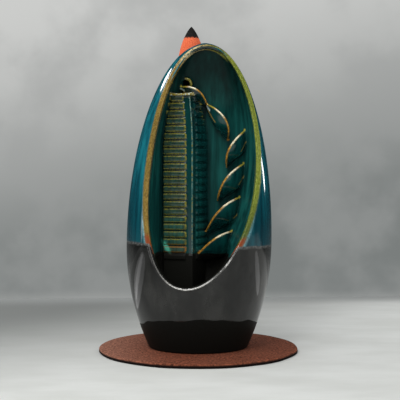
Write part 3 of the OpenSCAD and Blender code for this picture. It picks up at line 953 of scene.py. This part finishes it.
def add_dip(colour, value, broken, grain, where, x, y, z):
    """The dip line: rust where gold meets the black. It lies lower in the niche, and the lips stay clear."""
    dip = ramp(x, -0.038, 0.038, DIP_LEFT_Z * MM, DIP_RIGHT_Z * MM, smooth=False)
    dip = maths("SUBTRACT", dip, times(value["inside"], DIP_NICHE_DROP * MM))
    ripple = ramp(noise(where, 7, 3, 0.5), 0, 1, -0.0006, 0.0006, smooth=False)
    above = maths("SUBTRACT", z, maths("ADD", dip, ripple))
    colour = tint(colour, times(ramp(above, 0.0068, 0.0034), broken), "#83401F")
    clouds = noise(where, 13, 4, 0.6, (1, 1, 0.45))
    black = blend(ramp(clouds, 0.35, 0.7), "#080807", "#262624")
    slant = maths("ADD", z, times(y, FOOT_LINE_SLANT))
    dull = ramp(slant, (FOOT_LINE_Z + 1) * MM, (FOOT_LINE_Z - 0.5) * MM)
    black = tint(black, dull, "#131311")
    border = times(ramp(above, -0.0022, -0.0006), ramp(grain, 0.35, 0.65, 0.1, 0.5))
    black = tint(black, border, "#7E807E")
    black = tint(black, value["inside"], "#171714")
    # Painted highlight: a pale line along the crest of the black roll, brightest at the bottom, with a glint
    # on the right.
    middle = times(ramp(x, -0.026, -0.014, 0.2, 1), ramp(x, 0.010, 0.000, 0.25, 1))
    glint = times(ramp(x, 0.0125, 0.0145), ramp(x, 0.0185, 0.016))
    crest = times(value["crest"], maths("MAXIMUM", middle, glint),
                  ramp(grain, 0.25, 0.5, 0.5, 1))
    black = tint(black, crest, "#F0EEE8")
    covered = maths("MAXIMUM", value["lip"], value["corner_glint"])
    under = times(maths("SUBTRACT", 1.0, covered), ramp(above, 0.0004, -0.0004))
    return mix(under, colour, black)


def glaze(name, colours, roughness, ior):
    """Streaks run down the wall, patches are where the glaze lay thicker, grain is its fine mottle."""
    light, dark, deep = colours
    material, where, (x, y, z) = new_material(name)
    value = surface_values(where)
    streaks = noise(where, 3.2, 5, 0.6, (1, 1, 0.05))
    patches = noise(where, 14, 3, 0.5, (1, 1, 0.4))
    grain = noise(where, 1.1, 3, 0.6)
    colour = blend(ramp(streaks, 0.3, 0.7), dark, light)
    colour = tint(colour, ramp(patches, 0.35, 0.7, 0, 0.45), deep)
    # Painted shade: hollows and creases are darkened.
    colour = tint(colour, times(value["hollow"], 0.55), "#051A1C")
    outside = maths("SUBTRACT", 1.0, value["inside"])
    # The outer wall is darker towards the bottom.
    colour = tint(colour, times(outside, ramp(z, 0.125, 0.075, 0, 0.7)), "#06222B")
    # The niche is darker towards its top.
    niche_top_dark = times(value["inside"], ramp(z, 0.132, 0.172, 0, 0.85))
    colour = tint(colour, niche_top_dark, "#071412")
    colour, broken = add_gold(colour, value, patches, grain, x, z)
    colour = add_dip(colour, value, broken, grain, where, x, y, z)
    pores, waves = noise(where, 0.9, 2, 0.5), noise(where, 15, 2, 0.4)
    skin = bump(1.0, 0.00012, maths("ADD", times(pores, 0.06), waves))
    finish_material(colour, roughness, ior, skin)
    return material


def paint_body(body):
    """Give each face its glaze. A face is dull only if all its corners are, so that the cuts stay clean."""
    mesh = body.data
    mesh.materials.clear()
    for row in GLAZES:
        mesh.materials.append(glaze(*row))
    points, _, _ = mesh_arrays(mesh)
    inside, wall, roll_part = (read(mesh.attributes[name].data, "value") > 0.5
                               for name in ("inside", "wall", "roll"))
    kind = np.full(len(points), OUTER)
    kind[inside] = CUP
    kind[inside & wall] = NICHE
    kind[roll_part] = np.where(points[roll_part][:, 2] > DIP_RIGHT_Z + foot_level, GOLD, OUTER)
    dull = inside & (points[:, 2] < NICHE_DIP_Z + 0.01)
    dull |= ~inside & (above_foot_plane(points) - foot_waves(points) < 0.15)
    corners = read(mesh.loops, "vertex_index", kind=np.int32)
    starts = read(mesh.polygons, "loop_start", kind=np.int32)
    kind = np.maximum.reduceat(kind[corners], starts)
    kind[np.minimum.reduceat(dull[corners].astype(int), starts) > 0] = DULL
    mesh.polygons.foreach_set("material_index", kind.astype(np.int32))
    mesh.update()


paint_body(egg)
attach(egg, "root")
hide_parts("ceramic_body")
print("glaze on", egg.name)

# %% [markdown]
# ## The felt mat
#
# The mat is pressed wool felt, about 2.5 mm thick, cut round. Felt has no weave: the eye sees short
# matted fibres, a soft edge, and a dull surface with a little sheen. Wool's IOR is about 1.5 and
# its roughness is near 1. The fibres are drawn coarser than real ones, so that they show.

# %% Felt mat
def make_mat():
    low, high = (np.array(corner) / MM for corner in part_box("felt_mat"))
    r, t = (high[0] - low[0]) / 2, high[2] - low[2]
    middle = (low + high) / 2
    a = turns(320)
    profile = [(r - 0.7, 0.0), (r - 0.2, 0.15), (r, 0.5), (r, t - 0.6), (r - 0.15, t - 0.2), (r - 0.6, t)]
    profile += [(r * share, t) for share in (0.94, 0.85, 0.75, 0.65, 0.55)]
    rng = np.random.default_rng(7)
    wobble = sum(rng.normal(0, 0.05) * np.cos(k * a + rng.uniform(0, 6)) for k in range(2, 14))
    rings = []
    for radius, height in profile:
        rr = radius + (wobble - 0.25 if radius > r - 1 else 0)
        rings.append(circle(middle, rr, a, low[2] + height))
    return loft("wool_mat", rings)


def felt():
    material, where, (x, _, z) = new_material("brown_wool_felt")
    fibres = noise(where, 1.3, 6, 0.8, (1, 0.6, 1))
    clumps = noise(where, 4.5, 4, 0.6)
    broad = noise(where, 26, 3, 0.5)
    colour = blend(ramp(fibres, 0.36, 0.64), "#240F08", "#9C583F")
    colour = tint(colour, ramp(clumps, 0.35, 0.7, 0, 0.4), "#55301F")
    colour = tint(colour, ramp(broad, 0.3, 0.75, 0, 0.3), "#7B4A37")
    # Painted light: the mat is lighter towards the left, where the lamps fall on it.
    painted_left_light = times(ramp(x, -0.015, -0.065), ramp(fibres, 0.3, 0.7), 0.6)
    colour = tint(colour, painted_left_light, "#B98A75")
    # The mat's side edge is darker towards the table.
    colour = tint(colour, ramp(z, 0.0023, 0.0012), "#120A08")
    fuzz = bump(0.7, 0.0003, maths("ADD", fibres, clumps))
    finish_material(colour, 0.95, 1.5, {"Specular IOR Level": 0.15, **fuzz})
    return material


mat = make_mat()
mat.data.shade_smooth()
mat.data.materials.append(felt())
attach(mat, "root")
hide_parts("felt_mat")
print("mat", len(mat.data.vertices), "points")

# %% [markdown]
# ## The incense cone
#
# A backflow cone is pressed from wood powder, bored from below so that its smoke sinks. Its surface
# is matt and grainy, and the lit tip has charred black. The body is turned from the same profile as
# the model's, and dented a little where powder has come away.

# %% Cone
CHAR_H, CHAR_SPECK = 6.8, 0.5
BORE_D, BORE_DEPTH = 4, 11


def make_cone():
    low, high = (np.array(corner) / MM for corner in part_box("incense_cone"))
    height, r = high[2] - low[2], (high[0] - low[0]) / 2
    middle = (low + high) / 2
    t = np.linspace(1, 0.0008, 150) ** 1.3
    radii = r * (1 - (1 - t) ** 1.9) ** 0.8
    levels = low[2] + height * (1 - t)
    a = turns(160)
    rng = np.random.default_rng(11)
    rings = []
    for radius, z in zip(radii, levels):
        rough = rng.normal(0, 0.012, len(a)) * min(1, radius / 2)
        rr = np.maximum(radius - 0.03 + rough, 0.02)
        rings.append(circle(middle, rr, a, z))
    cone = loft("incense", rings)
    bore = rod("cone_bore", (*middle[:2], low[2] - 1), (*middle[:2], low[2] + BORE_DEPTH), BORE_D)
    combine(cone, [bore], "DIFFERENCE")
    bpy.data.objects.remove(bore)
    return cone, high[2]


def pressed_powder(tip_z):
    material, where, (_, _, z) = new_material("pressed_incense_powder")
    grain = noise(where, 0.6, 5, 0.7)
    patch = noise(where, 3, 3, 0.5)
    colour = blend(ramp(grain, 0.3, 0.7), "#C64E2C", "#EC7A4E")
    colour = tint(colour, ramp(patch, 0.4, 0.7, 0, 0.4), "#DB5F38")
    ragged = ramp(noise(where, 1.4, 4, 0.7), 0, 1, -0.0011, 0.0011, smooth=False)
    height = maths("ADD", z, ragged)
    border = (tip_z - CHAR_H) * MM
    colour = tint(colour, ramp(height, border - 0.0009, border - 0.0001), "#5A2A1C")
    colour = tint(colour, ramp(height, border - 0.0002, border + 0.0003), "#14110F")
    ash = ramp(noise(where, CHAR_SPECK, 3, 0.6), 0.6, 0.75, 0, 0.25)
    burnt = ramp(height, border, border + 0.0005)
    colour = tint(colour, times(ash, burnt), "#5B5550")
    finish_material(colour, 0.9, 1.45, bump(0.6, 0.0002, grain))
    return material


cone, tip_z = make_cone()
cone.data.shade_smooth()
cone.data.materials.clear()
cone.data.materials.append(pressed_powder(tip_z))
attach(cone, "root")
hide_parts("incense_cone")
print("cone", len(cone.data.vertices), "points")

# %% [markdown]
# ## Table and backdrop
#
# The table is a pale, slightly stained plaster, and the wall behind is a plain grey. The wall is in
# the world: it is a grey above the table's far edge and the table's own tone below it, so that
# every view has the same quiet background. Camera, glossy and transmission rays see it, and the
# light that falls on the object comes from a plain, even world. The glaze mirrors a room that is
# darker above the horizon, so that only the lamps draw bright streaks on it.

# %% Stage
TABLE_BACK, TABLE_FRONT, TABLE_HALF = 0.256, 1.6, 1.4


def table_material():
    """Pale in front, darker towards the back left, as if the light fell off there."""
    material, where, (x, y, _) = new_material("pale_plaster_table")
    cloud = noise(where, 60, 4, 0.55, (1, 2, 1))
    colour = blend(ramp(cloud, 0.3, 0.7), "#D2D3CE", "#DDDEDA")
    colour = tint(colour, ramp(maths("SUBTRACT", y, x), -0.06, 0.3), "#858784")
    colour = tint(colour, ramp(y, 0.2, TABLE_BACK), "#989A98")
    finish_material(colour, 0.6, 1.45)
    return material


def make_table():
    corners = [(-TABLE_HALF, -TABLE_FRONT), (TABLE_HALF, -TABLE_FRONT), (TABLE_HALF, TABLE_BACK),
               (-TABLE_HALF, TABLE_BACK)]
    table = new_object("table", [(x / MM, y / MM, 0) for x, y in corners], [(0, 1, 2, 3)])
    table.data.materials.append(table_material())
    return table


def make_world():
    world = bpy.data.worlds.new("grey_room")
    bpy.context.scene.world = world
    world.use_nodes = True
    tree = world.node_tree
    tree.nodes.clear()
    way = add_node(tree, "ShaderNodeTexCoord").outputs["Generated"]
    x, _, z = add_node(tree, "ShaderNodeSeparateXYZ", {0: way}).outputs
    cloud = add_node(tree, "ShaderNodeTexNoise", {"Vector": way, "Scale": 14.0, "Detail": 4.0})
    slope = maths("SUBTRACT", z, times(x, 0.2))
    wall = blend(ramp(slope, -0.1, 0.19), "#7A7E7D", "#CCCDCB")
    wall = tint(wall, ramp(cloud.outputs["Fac"], 0.35, 0.65, 0, 0.5), "#9C9E9D")
    seen = mix(ramp(z, -0.135, -0.116), linear("#A3A5A3"), wall)
    mirrored = tint(seen, ramp(z, -0.2, 0.0), "#1E2426")
    paths = add_node(tree, "ShaderNodeLightPath").outputs
    direct = maths("MAXIMUM", paths["Is Camera Ray"],
                       maths("MAXIMUM", paths["Is Glossy Ray"], paths["Is Transmission Ray"]))
    even = add_node(tree, "ShaderNodeBackground", {"Color": linear("#D8DADC"), "Strength": 0.85})
    tone = mix(paths["Is Glossy Ray"], seen, mirrored)
    shown = add_node(tree, "ShaderNodeBackground", {"Color": tone, "Strength": 1.0})
    both = add_node(tree, "ShaderNodeMixShader", {0: direct, 1: even.outputs[0], 2: shown.outputs[0]})
    add_node(tree, "ShaderNodeOutputWorld", {0: both.outputs[0]})


make_table()
make_world()
print("stage made")

# %% [markdown]
# ## Studio light
#
# A box behind the left shoulder draws the bright streak there, and two dim, upright ones draw soft
# lines down the flanks. A broad one above and in front lights the niche, with a smaller one for the
# glints on the lips. Three long, flat ones lie on the table, face up, and glow softly in the black
# base. Two fills light the glaze evenly. They aren't mirrored in it.

# %% Lamps
MIDDLE = (0, 0, 100)


def soft_box(name, place, aim, width, height, power):
    """An area lamp at a place, in millimetres, that faces a point."""
    lamp = bpy.data.lights.new(name, "AREA")
    lamp.shape, lamp.size, lamp.size_y, lamp.energy = "ELLIPSE", width * MM, height * MM, power
    holder = put(name, lamp)
    holder.location = Vector(place) * MM
    holder.rotation_euler = (Vector(aim) - Vector(place)).to_track_quat("-Z", "Y").to_euler()
    holder.visible_camera = False
    return holder


def around(azimuth, elevation, distance):
    a, e = math.radians(azimuth), math.radians(elevation)
    return (distance * math.sin(a) * math.cos(e), -distance * math.cos(a) * math.cos(e),
            MIDDLE[2] + distance * math.sin(e))


for name, azimuth, elevation, distance, width, height, power in (
        ("left_shoulder_box", -140, 28.5, 1200, 300, 150, 1.3),
        ("left_box", -101, 2, 1200, 90, 250, 0.16),
        ("right_box", 125, 5, 1200, 110, 130, 0.42),
        ("front_box", -35, 52, 1600, 1200, 1000, 9),
        ("small_front_box", -22, 38, 1200, 240, 240, 2.2)):
    soft_box(name, around(azimuth, elevation, distance), MIDDLE, width, height, power)
for name, x, y, z, width, height, power in (
        ("left_table_glow", -360, 60, 4, 560, 130, 0.11),
        ("left_table_core", -360, 66, 5, 520, 50, 0.05),
        ("right_table_glow", 330, 25, 4, 420, 56, 0.045)):
    soft_box(name, (x, y, z), (x, y, 500), width, height, power)
for name, azimuth, elevation, power in (("left_fill", -88, 12, 2.6), ("right_fill", 32, 22, 1.8)):
    fill = soft_box(name, around(azimuth, elevation, 1000), MIDDLE, 700, 700, power)
    fill.visible_glossy = False

# %% [markdown]
# ## Camera
#
# The camera stands a little to the left, level with the niche, with a long lens, so that the burner
# keeps its upright sides.

# %% Camera
def make_camera():
    yaw, pitch = math.radians(3), math.radians(1.89)
    distance, aside, height = 0.640, 0.00104, 0.11365
    right = Vector((math.cos(yaw), -math.sin(yaw), 0))
    ahead = Vector((math.sin(yaw), math.cos(yaw), 0))
    lens = bpy.data.cameras.new("camera")
    lens.sensor_width, lens.lens = 36, 93.96
    camera = put("camera", lens)
    camera.location = -distance * ahead + aside * right + Vector((0, 0, height))
    look = ahead * math.cos(pitch) - Vector((0, 0, math.sin(pitch)))
    camera.rotation_euler = look.to_track_quat("-Z", "Y").to_euler()
    bpy.context.scene.camera = camera


make_camera()
bpy.context.scene.view_settings.view_transform = "Standard"
print("camera set")
